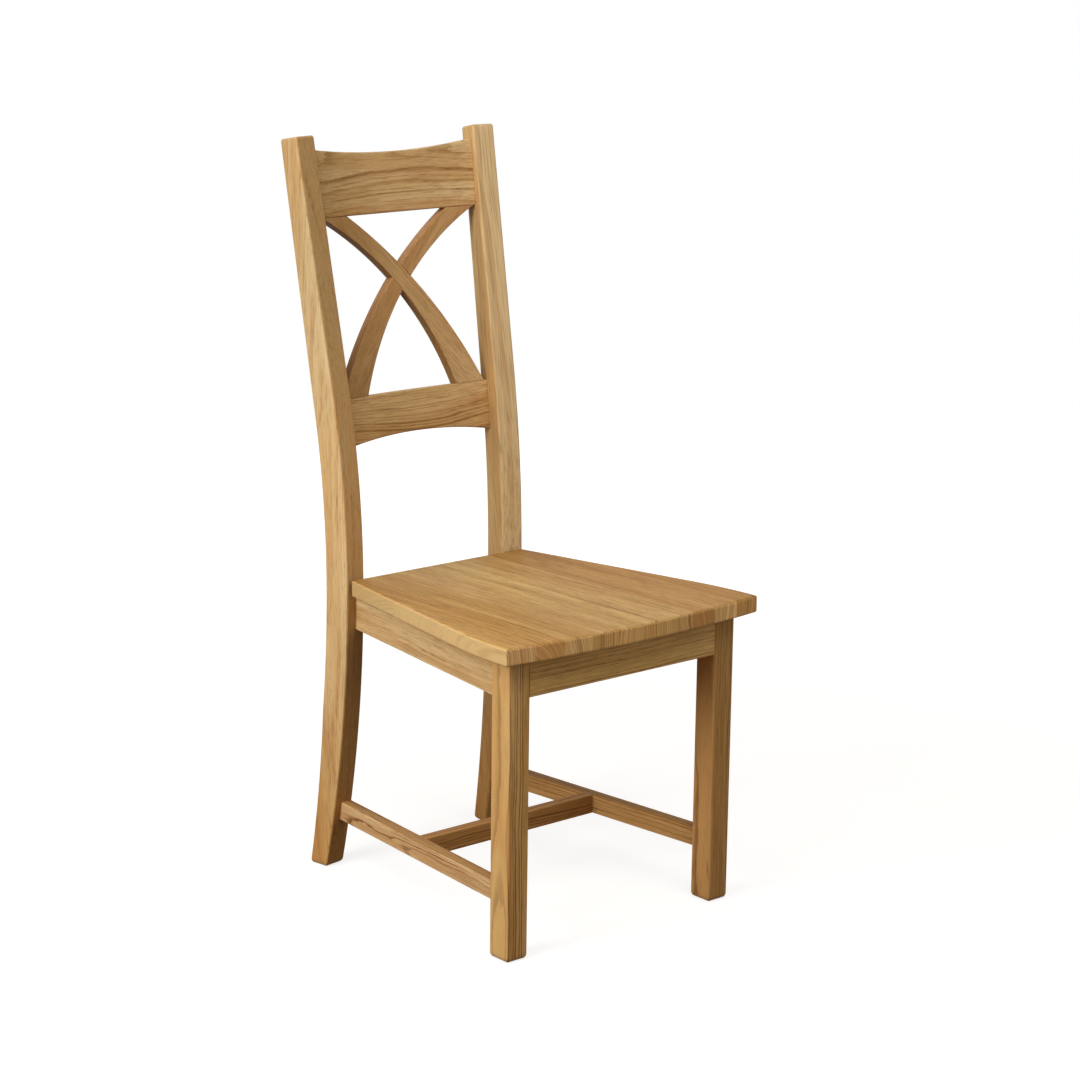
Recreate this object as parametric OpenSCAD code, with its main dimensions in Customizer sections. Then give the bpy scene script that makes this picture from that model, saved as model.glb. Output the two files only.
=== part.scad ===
// Oak dining chair with a cross back and an edge-glued wooden seat.
// Millimetres, Z up, X to the right as seen from the front, Y towards the back.
// Left and right in the pieces' names are as seen from the front.
// The origin is on the floor, under the middle of the chair's outline.

/* [Seat] */
// Height of the seat's top at its front corners
seat_h = 451; // [430:1:480]
// Fall of the seat towards the back, in degrees
seat_slope = 0.75; // [0:0.25:3]
// Width of the seat across its front corners
seat_w = 458; // [440:1:500]
// Width of the seat along its back edge
seat_back_w = 316; // [290:1:330]
// Thickness of the seat board
seat_t = 25; // [20:1:32]
// How far the front corners stand in front of the legs
seat_overhang = 20; // [10:1:30]
// How far the front edge swells forward in the middle
seat_bow = 17; // [8:1:30]
// Air between the seat's back edge and the posts
seat_clear = 3; // [1:0.5:8]
// Radius that eases the seat's edges
seat_edge_r = 4; // [1:0.5:6]

/* [Front legs] */
// Distance over the outer faces of the front legs
leg_span = 412; // [400:1:430]
// Width of a front leg, seen from the front
leg_w = 36.5; // [32:0.5:42]
// Depth of a front leg, front to back
leg_d = 39; // [34:0.5:46]
// Radius that eases the legs' arrises
leg_edge_r = 4; // [1:0.5:5]
// Radius that eases the lower ends of the legs and posts
foot_edge_r = 5; // [2:0.5:8]

/* [Rear posts] */
// Height of the posts at their front arris
post_h = 1070; // [1040:5:1120]
// Distance over the posts' outer front arrises at seat level
post_span = 328; // [315:1:345]
// Front of the front legs to the front of the posts at seat level
post_back = 415; // [390:1:440]
// Width of a post
post_w = 36; // [32:0.5:42]
// Depth of a post at the seat
post_d = 43; // [40:0.5:50]
// Depth of a post at its top
post_top_d = 33.5; // [31:0.5:40]
// Depth of a post at its foot
post_foot_d = 33.5; // [28:0.5:40]
// Turn of each post in plan, so that it faces the middle, in degrees
post_turn = 9; // [5:0.5:13]
// Rake of the upper part of the posts, in degrees
back_rake = 11; // [8:0.5:14]
// Height at which the posts stand upright, between their two bends
bend_z = 425; // [400:5:440]
// Radius of the posts' upper bend
upper_bend_r = 1520; // [1300:20:1800]
// Radius of the posts' lower bend
lower_bend_r = 2050; // [1700:50:2600]
// Height above which the posts taper to the top
taper_top_z = 700; // [600:10:760]
// Height below which the posts taper to the foot
taper_foot_z = 240; // [180:10:300]

/* [Seat rails] */
// Height of the seat rails at the front legs
rail_h = 57; // [50:1:70]
// Thickness of the front and rear rails
rail_t = 20; // [18:0.5:23]
// Thickness of the side rails
side_rail_t = 18; // [17:0.5:20]
// Set-back of the front rail's face from the legs' front
front_rail_inset = 2; // [0.5:0.5:5]
// Set-back of a side rail's face from the leg's outer face
side_rail_inset = 4; // [2:0.5:8]
// Set-back of a side rail's face from the post's outer face
side_rail_post_inset = 18; // [14:0.5:18]
// Set-back of the rear rail's face from the posts' front
rear_rail_inset = 1; // [0.5:0.5:8]

/* [Stretchers] */
// Height of the stretchers' lower edge above the floor
stretcher_z = 75; // [50:1:140]
// Height of a stretcher
stretcher_h = 28; // [22:1:36]
// Thickness of a stretcher
stretcher_t = 18.5; // [16:0.5:21]
// Set-back of a side stretcher from the leg's outer face
stretcher_leg_inset = 12.9; // [6:0.1:14]
// Set-back of a side stretcher from the post's outer face
stretcher_post_inset = 13; // [6:0.5:14]
// Front of the front legs to the front of the cross stretcher
cross_stretcher_y = 238; // [120:1:320]
// Radius that eases the rails' and stretchers' arrises
bar_edge_r = 1.5; // [0.5:0.25:3]

/* [Back] */
// Height of the lower back rail's top edge
lower_rail_z = 697; // [670:1:730]
// Set-back of the lower rail behind the posts' front arris
lower_rail_setback = 21.5; // [16:0.5:22]
// Set-back of the crest rail behind the posts' front arris
crest_setback = 9.5; // [7:0.5:11]
// Hollow of the back in plan, over the width between the posts
back_sag = 8.5; // [3:0.5:9]
// Thickness of the crest and lower rails
back_rail_t = 18; // [16:0.5:19]
// Height of the lower rail at its middle
lower_rail_h = 60.5; // [50:0.5:75]
// Rise of the arch under the lower rail
lower_rail_arch = 12.5; // [5:0.5:18]
// Height of the crest rail at its middle
crest_h = 88; // [70:1:105]
// Dip of the crest rail's top edge
crest_dip = 9.5; // [4:0.5:16]
// Drop from the posts' top to the crest rail's top corners
crest_drop = 21; // [14:1:40]

/* [Cross braces] */
// Thickness of a brace
brace_t = 16.5; // [13:0.5:17.5]
// Inner edge of a brace on the lower rail, from the middle
brace_foot_in = 81; // [60:1:90]
// Outer edge of a brace on the lower rail, from the middle
brace_foot_out = 130; // [122:1:134]
// Inner edge of a brace under the crest rail, from the middle
brace_top_in = 90; // [80:1:96]
// Outer edge of a brace under the crest rail, from the middle
brace_top_out = 139; // [132:1:142]
// Radius of a brace's hollow edge
brace_hollow_r = 460; // [420:10:640]
// Radius of a brace's swelling edge
brace_swell_r = 680; // [600:10:900]

/* [Joints] */
// Length of the tenons in the legs and posts
tenon_l = 20; // [14:1:24]
// Length of the cross stretcher's tenons
short_tenon_l = 10; // [6:0.5:13]
// Thickness of every tenon
tenon_t = 8; // [6:0.5:9]
// Shoulder above and below a tenon
tenon_shoulder = 5; // [3:0.5:7]
// Air round every tenon, dowel and halved face
fit_gap = 0.15; // [0.05:0.05:0.3]
// Depth of a mortise or dowel hole beyond its tenon or dowel
end_gap = 1; // [0.5:0.5:2]
// Diameter of the dowels in the braces' ends
dowel_d = 8; // [6:1:9]
// Length of those dowels
dowel_l = 24; // [18:1:28]
// Length of the corner blocks along the rails
block_l = 60; // [54:1:70]
// Height of the blocks' underside above the rails' lower edge
block_rise = 14; // [6:1:16]
// Diameter of the screws' shank
screw_d = 4; // [3:0.5:4.5]
// Diameter of the screws' head
screw_head_d = 8; // [7:0.5:9]
// Length of the screws that hold the seat
seat_screw_l = 38; // [32:1:38]
// How deep the screws bite in the wood behind the blocks
screw_bite = 12; // [9:1:14]

/* [Hidden] */

$fn = 96;
big_fn = 720;    // facets of the wide arcs
far = 900;       // reach of the cutting shapes
stave_n = 10;
edge_steps = 26; // points along each curved edge of a post
ease_steps = 6;  // points round each eased corner of a post

oak = [0.76, 0.60, 0.38];
oak_light = [0.82, 0.67, 0.45];
oak_deep = [0.69, 0.52, 0.32];
beech = [0.80, 0.68, 0.52];
steel = [0.66, 0.67, 0.69];

// --- Rear post profile: v is measured back from the front arris at bend_z ---

arc_top_z = bend_z + upper_bend_r * sin(back_rake);

// Front edge: an arc on each side of bend_z, then straight to the top
function front_v(z) =
    z <= bend_z ? lower_bend_r - sqrt(pow(lower_bend_r, 2) - pow(bend_z - z, 2))
    : z <= arc_top_z ? upper_bend_r - sqrt(pow(upper_bend_r, 2) - pow(z - bend_z, 2))
    : upper_bend_r * (1 - cos(back_rake)) + (z - arc_top_z) * tan(back_rake);

top_taper = (post_d - post_top_d) / (post_h - taper_top_z);
foot_taper = (post_d - post_foot_d) / taper_foot_z;

// Depth of the post, full in the middle and tapered to both ends
function depth_at(z) = post_d - top_taper * max(0, z - taper_top_z)
    - foot_taper * max(0, taper_foot_z - z);

// The top is cut square to the raked post, so its rear arris lies lower
rear_top_z = post_h - post_top_d / (1 / tan(back_rake) + tan(back_rake) - top_taper);

function rear_v(z) = front_v(z) + depth_at(z);

front_edge = [for (i = [0 : edge_steps]) let (z = post_h * i / edge_steps) [front_v(z), z]];
rear_edge = [for (i = [edge_steps : -1 : 0]) let (z = rear_top_z * i / edge_steps) [rear_v(z), z]];

// Points of an arc of radius r that eases the corner at p, from the side of a to the side of b
function eased_corner(a, p, b, r) =
    let (u = (a - p) / norm(a - p), w = (b - p) / norm(b - p), half = acos(u * w) / 2,
        c = p + (u + w) / norm(u + w) * r / sin(half), start = p + u * r / tan(half) - c,
        turn = sign(cross(w, u)) * (180 - 2 * half))
    [for (i = [0 : ease_steps]) let (t = turn * i / ease_steps)
        c + [start[0] * cos(t) - start[1] * sin(t), start[0] * sin(t) + start[1] * cos(t)]];

post_profile = concat(
    eased_corner(rear_edge[edge_steps], front_edge[0], front_edge[1], foot_edge_r),
    [for (i = [1 : edge_steps]) front_edge[i]], [for (i = [0 : edge_steps - 1]) rear_edge[i]],
    eased_corner(rear_edge[edge_steps - 1], rear_edge[edge_steps], front_edge[0], foot_edge_r));

// --- Places worked out from the sizes above ---

front_y = -seat_overhang - seat_bow;
rear_y = post_back + rear_v(rear_top_z) * cos(post_turn) + post_w * sin(post_turn);
mid_y = (front_y + rear_y) / 2;

seat_len = (post_back - seat_clear + seat_overhang) / cos(seat_slope);
seat_side_turn = atan((seat_w - seat_back_w) / 2 / seat_len);
seat_front_r = (pow(seat_w / 2, 2) + pow(seat_bow, 2)) / (2 * seat_bow);
stave_w = seat_w / stave_n;

rail_z = seat_h - seat_t - rail_h;
leg_in_x = leg_span / 2 - leg_w;
function underside_z(y) = seat_h - (y + seat_overhang) * tan(seat_slope) - seat_t / cos(seat_slope);

// A side bar runs from the leg's rear face to the post's front face at height z
function post_x(u, v) = post_span / 2 + v * sin(post_turn) - u * cos(post_turn);
function post_y(u, v) = post_back + v * cos(post_turn) + u * sin(post_turn);
function bar_turn(x0, x1, y1) = atan((x0 - x1) / (y1 - leg_d));

side_rail_x = leg_span / 2 - side_rail_inset;
side_rail_turn = bar_turn(side_rail_x, post_x(side_rail_post_inset, 0), post_y(side_rail_post_inset, 0));

stretcher_v = front_v(stretcher_z + stretcher_h / 2);
stretcher_x = leg_span / 2 - stretcher_leg_inset;
stretcher_turn = bar_turn(stretcher_x, post_x(stretcher_post_inset, stretcher_v),
    post_y(stretcher_post_inset, stretcher_v));

// Tenons of the side rails lie low and those of the front and rear rails high,
// so that they pass each other inside the legs and posts
rear_rail_y = post_y(post_w, 0) + rear_rail_inset;
tenon_split_z = (rail_z + underside_z(rear_rail_y)) / 2;

// The back panel leans on the posts' inner faces by its two set-backs
crest_mid_z = post_h - crest_drop - crest_h / 2;
panel_y = post_y(post_w, front_v(lower_rail_z) + lower_rail_setback);
crest_panel_y = post_y(post_w, front_v(crest_mid_z) + crest_setback);
panel_tilt = atan((crest_panel_y - panel_y) / (crest_mid_z - lower_rail_z));
panel_half_w = post_x(post_w, front_v(lower_rail_z) + lower_rail_setback);
crest_half_w = post_x(post_w, front_v(crest_mid_z) + crest_setback);
back_r = (pow(crest_half_w, 2) + pow(back_sag, 2)) / (2 * back_sag);
crest_base = (post_h - crest_drop - lower_rail_z) / cos(panel_tilt) - crest_h - crest_dip;
crest_dip_r = (pow(crest_half_w, 2) + pow(crest_dip, 2)) / (2 * crest_dip);
arch_r = (pow(panel_half_w, 2) + pow(lower_rail_arch, 2)) / (2 * lower_rail_arch);

// How far the hollow back lies behind its ends, at x
function hollow(x) = sqrt(pow(back_r, 2) - pow(x, 2)) - back_r + back_sag;

// Centre of the circle of radius r through p and q, on the side of their left hand
function arc_centre(p, q, r) =
    let (m = (p + q) / 2, d = q - p, l = norm(d)) m + [-d[1], d[0]] / l * sqrt(r * r - l * l / 4);

foot_dowel_x = (brace_foot_in + brace_foot_out) / 2 - 4;
top_dowel_x = brace_top_in + dowel_d / 2 + 8;

// Corner blocks: the two ends of each slanting face, and the point that its screw
// aims at, on the leg's inner corner in front and in the rear rail behind
function side_in_x(y) = side_rail_x - (y - leg_d) * tan(side_rail_turn)
    - side_rail_t / cos(side_rail_turn);

rail_back_y = front_rail_inset + rail_t;
front_end_y = leg_d + block_l * 0.75;
rear_end_y = rear_rail_y - block_l;
front_corner = [leg_in_x, leg_d];
rear_corner = [post_x(post_w, 0) - block_l / 4, rear_rail_y];
front_slant = [[leg_in_x - block_l * 0.75, rail_back_y], [side_in_x(front_end_y), front_end_y]];
rear_slant = [[post_x(post_w, 0) - block_l, rear_rail_y], [side_in_x(rear_end_y), rear_end_y]];
front_seat_screw = [leg_in_x - block_l * 0.4, rail_back_y + 11];
rear_seat_screw = [side_in_x(rear_end_y + block_l / 2) - 11, rear_end_y + block_l / 2];

// Point on the slant nearest to the corner
function foot_of(slant, c) =
    let (d = slant[1] - slant[0]) slant[0] + d * ((c - slant[0]) * d) / (d * d);
function block_screw_l(slant, c) = norm(c - foot_of(slant, c)) + screw_bite;

// --- Frames and common shapes ---

module centred() {
    translate([0, -mid_y, 0]) children();
}

module both_sides() {
    children();
    mirror([1, 0, 0]) children();
}

// Origin at the right post's outer front arris: X outwards, Y along its depth
module on_post() {
    translate([post_span / 2, post_back, 0]) rotate([0, 0, -post_turn]) children();
}

// Origin at the start of the right side rail's or stretcher's outer face
module on_bar(x, turn) {
    translate([x, leg_d, 0]) rotate([0, 0, turn]) children();
}

// Origin at the seat's front corner line, Z = 0 in its top
module on_seat() {
    translate([0, -seat_overhang, seat_h]) rotate([-seat_slope, 0, 0]) children();
}

// Origin at the lower back rail's top: Y through the back, Z up its lean
module on_panel() {
    translate([0, panel_y, lower_rail_z]) rotate([-panel_tilt, 0, 0]) children();
}

// Everything above the seat's underside
module above_rails() {
    on_seat() translate([-far / 2, -far / 4, -seat_t]) cube([far, far, far]);
}

// Section of a board whose right-hand edge is eased, ending at x = 0
module eased_edge(w, t, r) {
    translate([-w, -t]) square([w - r, t]);
    translate([-w, r - t]) square([w, t - 2 * r]);
    translate([-r, -r]) circle(r);
    translate([-r, r - t]) circle(r);
}

// Rectangle from the origin with four eased corners
module eased_rect(w, h, r) {
    translate([r, 0]) square([w - 2 * r, h]);
    translate([0, r]) square([w, h - 2 * r]);
    for (x = [r, w - r], y = [r, h - r]) {
        translate([x, y]) circle(r);
    }
}

// Rectangle from the origin with its two lower corners eased
module eased_foot(w, h, r) {
    translate([0, r]) square([w, h - r]);
    translate([r, 0]) square([w - 2 * r, 2 * r]);
    for (x = [r, w - r]) {
        translate([x, r]) circle(r);
    }
}

// --- Tenons, each used again with a gap as the cut for its mortise ---

// Slab that ends a tenon inside a post, at depth l behind its inner face
module beyond_inner_face(l) {
    on_post() translate([l - post_w, -far / 2, -1]) cube([far, far, post_h * 2]);
}

// The same behind the post's curved front face
module beyond_front_face(l) {
    on_post() translate([0, l, 0]) rotate([90, 0, 90]) translate([0, 0, -far / 2])
        linear_extrude(far) polygon(concat([for (p = front_edge) p], [[far, post_h], [far, 0]]));
}

module crest_tenon(gap = 0, extra = 0) {
    difference() {
        on_panel() translate([crest_half_w - 18, (back_rail_t - tenon_t) / 2 - gap,
                crest_base + tenon_shoulder * 2 - gap])
            cube([post_w + 40, tenon_t + 2 * gap, crest_h - tenon_shoulder * 4 + 2 * gap]);
        beyond_inner_face(tenon_l + extra);
    }
}

module lower_rail_tenon(gap = 0, extra = 0) {
    difference() {
        on_panel() translate([panel_half_w - 18, (back_rail_t - tenon_t) / 2 - gap,
                -lower_rail_h + tenon_shoulder - gap])
            cube([post_w + 40, tenon_t + 2 * gap, lower_rail_h - tenon_shoulder * 2 + 2 * gap]);
        beyond_inner_face(tenon_l + extra);
    }
}

module rear_rail_tenon(gap = 0, extra = 0) {
    difference() {
        translate([post_x(post_w, 0) - 12, rear_rail_y + (rail_t - tenon_t) / 2 - gap,
                tenon_split_z + tenon_shoulder - gap])
            cube([post_w + 40, tenon_t + 2 * gap,
                underside_z(rear_rail_y) - tenon_split_z - 2 * tenon_shoulder + 2 * gap]);
        beyond_inner_face(tenon_l + extra);
    }
}

module front_rail_tenon(gap = 0, extra = 0) {
    translate([leg_in_x - 10, front_rail_inset + (rail_t - tenon_t) / 2 - gap,
            tenon_split_z + tenon_shoulder - gap])
        cube([tenon_l + extra + 10, tenon_t + 2 * gap,
            underside_z(leg_d) - tenon_split_z - 2 * tenon_shoulder + 2 * gap]);
}

// Tongue of a side bar through leg and post, stopped at depth tenon_l in both
module side_tenon(x, turn, t, z0, z1, gap, extra) {
    difference() {
        on_bar(x, turn) translate([-(t + tenon_t) / 2 - gap, -leg_d, z0 - gap])
            cube([tenon_t + 2 * gap, far, z1 - z0 + 2 * gap]);
        translate([0, leg_d - tenon_l - extra - far, -1]) cube([far, far, post_h]);
        beyond_front_face(tenon_l + extra);
    }
}

module side_rail_tenon(gap = 0, extra = 0) {
    side_tenon(side_rail_x, side_rail_turn, side_rail_t, rail_z + tenon_shoulder,
        tenon_split_z - tenon_shoulder, gap, extra);
}

module stretcher_tenon(gap = 0, extra = 0) {
    side_tenon(stretcher_x, stretcher_turn, stretcher_t, stretcher_z + tenon_shoulder,
        stretcher_z + stretcher_h - tenon_shoulder, gap, extra);
}

module cross_tenon(gap = 0, extra = 0) {
    difference() {
        translate([0, cross_stretcher_y + (stretcher_t - tenon_t) / 2 - gap,
                stretcher_z + tenon_shoulder - gap])
            cube([far, tenon_t + 2 * gap, stretcher_h - 2 * tenon_shoulder + 2 * gap]);
        on_bar(stretcher_x, stretcher_turn)
            translate([short_tenon_l + extra - stretcher_t, -far / 2, 0]) cube([far, far, far]);
    }
}

// --- Fasteners ---

// Countersunk screw along +Z, its head's flat top at z = 0 and its tip at z = l
module screw(l) {
    cone_l = (screw_head_d - screw_d) / 2;
    rotate_extrude() polygon([[0, 0], [screw_head_d / 2, 0], [screw_d / 2, cone_l],
        [screw_d / 2, l - screw_d / 2], [screw_d / 8, l], [0, l]]);
}

// Hole for it, with its countersink open to the back
module screw_hole(l) {
    cone_l = (screw_head_d - screw_d) / 2;
    wide_r = screw_head_d / 2 + 2 * fit_gap;
    rotate_extrude() polygon([[0, -block_l / 2], [wide_r, -block_l / 2], [wide_r, 0],
        [screw_d / 2 + fit_gap, cone_l], [screw_d / 2 + fit_gap, l + end_gap], [0, l + end_gap]]);
}

// From the middle of a block's slanting face towards the corner, between the tenons
module at_slant(slant, c) {
    start = foot_of(slant, c);
    translate([start[0], start[1], tenon_split_z])
        rotate([0, 0, atan2(c[1] - start[1], c[0] - start[0])]) rotate([0, 90, 0]) children();
}

// Under the seat at p, square to it, with the tip screw_bite deep in the staves
module under_seat(p) {
    on_seat() translate([p[0], (p[1] + seat_overhang) / cos(seat_slope),
        screw_bite - seat_screw_l - seat_t]) children();
}

// --- Rear posts ---

module post_blank() {
    on_post() intersection() {
        translate([-post_w, 0, 0]) rotate([90, 0, 90]) linear_extrude(post_w) polygon(post_profile);
        translate([-post_w, far / 2, 0]) rotate([90, 0, 0]) linear_extrude(far)
            eased_foot(post_w, post_h + 1, foot_edge_r);
    }
}

module rear_post() {
    difference() {
        post_blank();
        crest_tenon(fit_gap, end_gap);
        lower_rail_tenon(fit_gap, end_gap);
        rear_rail_tenon(fit_gap, end_gap);
        side_rail_tenon(fit_gap, end_gap);
        stretcher_tenon(fit_gap, end_gap);
    }
}

module rear_post_left() {
    color(oak) centred() mirror([1, 0, 0]) rear_post();
}

module rear_post_right() {
    color(oak) centred() rear_post();
}

// --- Front legs ---

module leg_blank() {
    translate([leg_in_x, 0, 0]) intersection() {
        linear_extrude(seat_h) eased_rect(leg_w, leg_d, leg_edge_r);
        translate([0, leg_d, 0]) rotate([90, 0, 0]) linear_extrude(leg_d)
            eased_foot(leg_w, seat_h, foot_edge_r);
        rotate([90, 0, 90]) linear_extrude(leg_w) eased_foot(leg_d, seat_h, foot_edge_r);
    }
}

module front_leg() {
    difference() {
        leg_blank();
        above_rails();
        front_rail_tenon(fit_gap, end_gap);
        side_rail_tenon(fit_gap, end_gap);
        stretcher_tenon(fit_gap, end_gap);
        at_slant(front_slant, front_corner) screw_hole(block_screw_l(front_slant, front_corner));
    }
}

module front_leg_left() {
    color(oak_light) centred() mirror([1, 0, 0]) front_leg();
}

module front_leg_right() {
    color(oak_light) centred() front_leg();
}

// --- Seat rails ---

// Board between two planes x = -w and x = w, its lower arrises eased
module flat_rail(w, y, t) {
    translate([-w, y, rail_z]) rotate([90, 0, 90]) linear_extrude(2 * w)
        eased_rect(t, rail_h + seat_t, bar_edge_r);
}

module front_rail() {
    color(oak) centred() {
        difference() {
            flat_rail(leg_in_x, front_rail_inset, rail_t);
            above_rails();
        }
        both_sides() front_rail_tenon();
    }
}

module rear_rail() {
    color(oak) centred() {
        difference() {
            flat_rail(post_span / 2, rear_rail_y, rail_t);
            above_rails();
            both_sides() {
                beyond_inner_face(0);
                at_slant(rear_slant, rear_corner) screw_hole(block_screw_l(rear_slant, rear_corner));
            }
        }
        both_sides() rear_rail_tenon();
    }
}

// Bar along a side, cut to the leg's flat face and the post's curved one
module side_bar(x, turn, t, z, h) {
    difference() {
        on_bar(x, turn) translate([-t, post_back + leg_d, z]) rotate([90, 0, 0])
            linear_extrude(post_back + 2 * leg_d) eased_rect(t, h, bar_edge_r);
        translate([0, leg_d - far, 0]) cube([far, far, far]);
        beyond_front_face(0);
    }
}

module side_rail() {
    difference() {
        side_bar(side_rail_x, side_rail_turn, side_rail_t, rail_z, rail_h + seat_t);
        above_rails();
    }
    side_rail_tenon();
}

module side_rail_left() {
    color(oak_light) centred() mirror([1, 0, 0]) side_rail();
}

module side_rail_right() {
    color(oak_light) centred() side_rail();
}

// --- Stretchers ---

module side_stretcher() {
    difference() {
        union() {
            side_bar(stretcher_x, stretcher_turn, stretcher_t, stretcher_z, stretcher_h);
            stretcher_tenon();
        }
        cross_tenon(fit_gap, end_gap);
    }
}

module side_stretcher_left() {
    color(oak_light) centred() mirror([1, 0, 0]) side_stretcher();
}

module side_stretcher_right() {
    color(oak_light) centred() side_stretcher();
}

module cross_stretcher() {
    color(oak) centred() {
        difference() {
            translate([-leg_span / 2, cross_stretcher_y, stretcher_z]) rotate([90, 0, 90])
                linear_extrude(leg_span) eased_rect(stretcher_t, stretcher_h, bar_edge_r);
            both_sides() on_bar(stretcher_x, stretcher_turn)
                translate([-stretcher_t, -far / 2, 0]) cube([far, far, far]);
        }
        both_sides() cross_tenon();
    }
}

// --- Back: rails and braces share one gently hollow surface ---

// Shell of the back between depths t0 and t1 behind its front
module hollow_shell(t0, t1) {
    intersection() {
        translate([0, back_sag - back_r, -far / 2]) difference() {
            cylinder(r = back_r + t1, h = far * 1.5, $fn = big_fn);
            translate([0, 0, -1]) cylinder(r = back_r + t0, h = far * 1.5 + 2, $fn = big_fn);
        }
        translate([-post_span, -far / 6, -far / 4]) cube([post_span * 2, far / 3, far]);
    }
}

// Outline drawn in the panel's X and Z, cut out of that shell
module cut_from_shell(t0, t1) {
    intersection() {
        translate([0, far / 8, 0]) rotate([90, 0, 0]) linear_extrude(far / 4) children();
        hollow_shell(t0, t1);
    }
}

module crest_outline() {
    difference() {
        translate([-post_span / 2, crest_base]) square([post_span, crest_h + crest_dip * 2]);
        translate([0, crest_base + crest_h + crest_dip_r]) circle(crest_dip_r, $fn = big_fn);
    }
}

module lower_rail_outline() {
    difference() {
        translate([-post_span / 2, -lower_rail_h - lower_rail_arch * 2])
            square([post_span, lower_rail_h + lower_rail_arch * 2]);
        translate([0, -lower_rail_h - arch_r]) circle(arch_r, $fn = big_fn);
        translate([-post_span, -lower_rail_h - lower_rail_arch * 3])
            square([post_span * 2, lower_rail_arch * 2]);
    }
}

// Brace from the upper left to the lower right, between two arcs
module brace_outline(grow = 0) {
    intersection() {
        translate([-post_span / 2, 0]) square([post_span, crest_base]);
        difference() {
            translate(arc_centre([brace_foot_out, 0], [-brace_top_in, crest_base], brace_swell_r))
                circle(brace_swell_r + grow, $fn = big_fn);
            translate(arc_centre([brace_foot_in, 0], [-brace_top_out, crest_base], brace_hollow_r))
                circle(brace_hollow_r - grow, $fn = big_fn);
        }
    }
}

// Dowels stand in the middle of the braces' thickness, along the lean
module dowel_places() {
    for (s = [-1, 1]) {
        translate([s * foot_dowel_x, hollow(foot_dowel_x) + brace_t / 2, 0]) children();
        translate([s * top_dowel_x, hollow(top_dowel_x) + brace_t / 2, crest_base]) children();
    }
}

module dowel_holes() {
    dowel_places() translate([0, 0, -dowel_l / 2 - end_gap])
        cylinder(d = dowel_d + 2 * fit_gap, h = dowel_l + 2 * end_gap);
}

module crest_rail() {
    color(oak) centred() difference() {
        union() {
            difference() {
                on_panel() cut_from_shell(0, back_rail_t) crest_outline();
                both_sides() beyond_inner_face(0);
            }
            both_sides() crest_tenon();
        }
        on_panel() dowel_holes();
    }
}

module lower_back_rail() {
    color(oak) centred() difference() {
        union() {
            difference() {
                on_panel() cut_from_shell(0, back_rail_t) lower_rail_outline();
                both_sides() beyond_inner_face(0);
            }
            both_sides() lower_rail_tenon();
        }
        on_panel() dowel_holes();
    }
}

// The front brace keeps its front half at the crossing
module cross_brace_front() {
    color(oak_deep) centred() difference() {
        on_panel() difference() {
            cut_from_shell(0, brace_t) brace_outline();
            cut_from_shell(brace_t / 2 - fit_gap / 2, brace_t + 5) mirror([1, 0]) brace_outline(fit_gap);
            dowel_holes();
        }
        both_sides() beyond_inner_face(0);
    }
}

// The back brace keeps its back half
module cross_brace_back() {
    color(oak_deep) centred() difference() {
        on_panel() difference() {
            cut_from_shell(0, brace_t) mirror([1, 0]) brace_outline();
            cut_from_shell(-5, brace_t / 2 + fit_gap / 2) brace_outline(fit_gap);
            dowel_holes();
        }
        both_sides() beyond_inner_face(0);
    }
}

module brace_dowels() {
    color(beech) centred() on_panel() dowel_places() {
        rotate_extrude() polygon([[0, -dowel_l / 2], [dowel_d / 2 - 1, -dowel_l / 2],
            [dowel_d / 2, 1 - dowel_l / 2], [dowel_d / 2, dowel_l / 2 - 1],
            [dowel_d / 2 - 1, dowel_l / 2], [0, dowel_l / 2]]);
    }
}

// --- Seat: staves with the grain front to back, glued edge to edge ---

module seat_blank() {
    intersection() {
        translate([0, seat_front_r - seat_bow, 0]) rotate_extrude($fn = big_fn) intersection() {
            translate([seat_front_r, 0]) eased_edge(seat_front_r, seat_t, seat_edge_r);
            translate([0, -seat_t]) square([seat_front_r, seat_t]);
        }
        seat_side();
        mirror([1, 0, 0]) seat_side();
        translate([0, seat_len, 0]) rotate([90, 0, 90]) translate([0, 0, -far / 2])
            linear_extrude(far) eased_edge(far, seat_t, seat_edge_r);
    }
}

module seat_side() {
    translate([seat_w / 2, 0, 0]) rotate([0, 0, seat_side_turn]) translate([0, far, 0])
        rotate([90, 0, 0]) linear_extrude(far * 1.5) eased_edge(far, seat_t, seat_edge_r);
}

module seat_stave(i, tone) {
    color(tone) centred() difference() {
        on_seat() intersection() {
            seat_blank();
            translate([(i - 1) * stave_w - seat_w / 2, -far / 4, -far / 4]) cube([stave_w, far, far]);
        }
        both_sides() {
            under_seat(front_seat_screw) screw_hole(seat_screw_l);
            under_seat(rear_seat_screw) screw_hole(seat_screw_l);
        }
    }
}

module seat_stave_1() {
    seat_stave(1, oak);
}

module seat_stave_2() {
    seat_stave(2, oak_light);
}

module seat_stave_3() {
    seat_stave(3, oak);
}

module seat_stave_4() {
    seat_stave(4, oak_deep);
}

module seat_stave_5() {
    seat_stave(5, oak);
}

module seat_stave_6() {
    seat_stave(6, oak_light);
}

module seat_stave_7() {
    seat_stave(7, oak_deep);
}

module seat_stave_8() {
    seat_stave(8, oak);
}

module seat_stave_9() {
    seat_stave(9, oak_light);
}

module seat_stave_10() {
    seat_stave(10, oak);
}

// --- Corner blocks and their screws ---

module block(slant, outer_x) {
    difference() {
        translate([0, 0, rail_z + block_rise]) linear_extrude(rail_h)
            polygon([slant[0], [outer_x, slant[0][1]], [outer_x, slant[1][1]], slant[1]]);
        above_rails();
        on_bar(side_rail_x, side_rail_turn)
            translate([-side_rail_t, -far / 2, 0]) cube([far, far, far]);
        children();
    }
}

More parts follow.
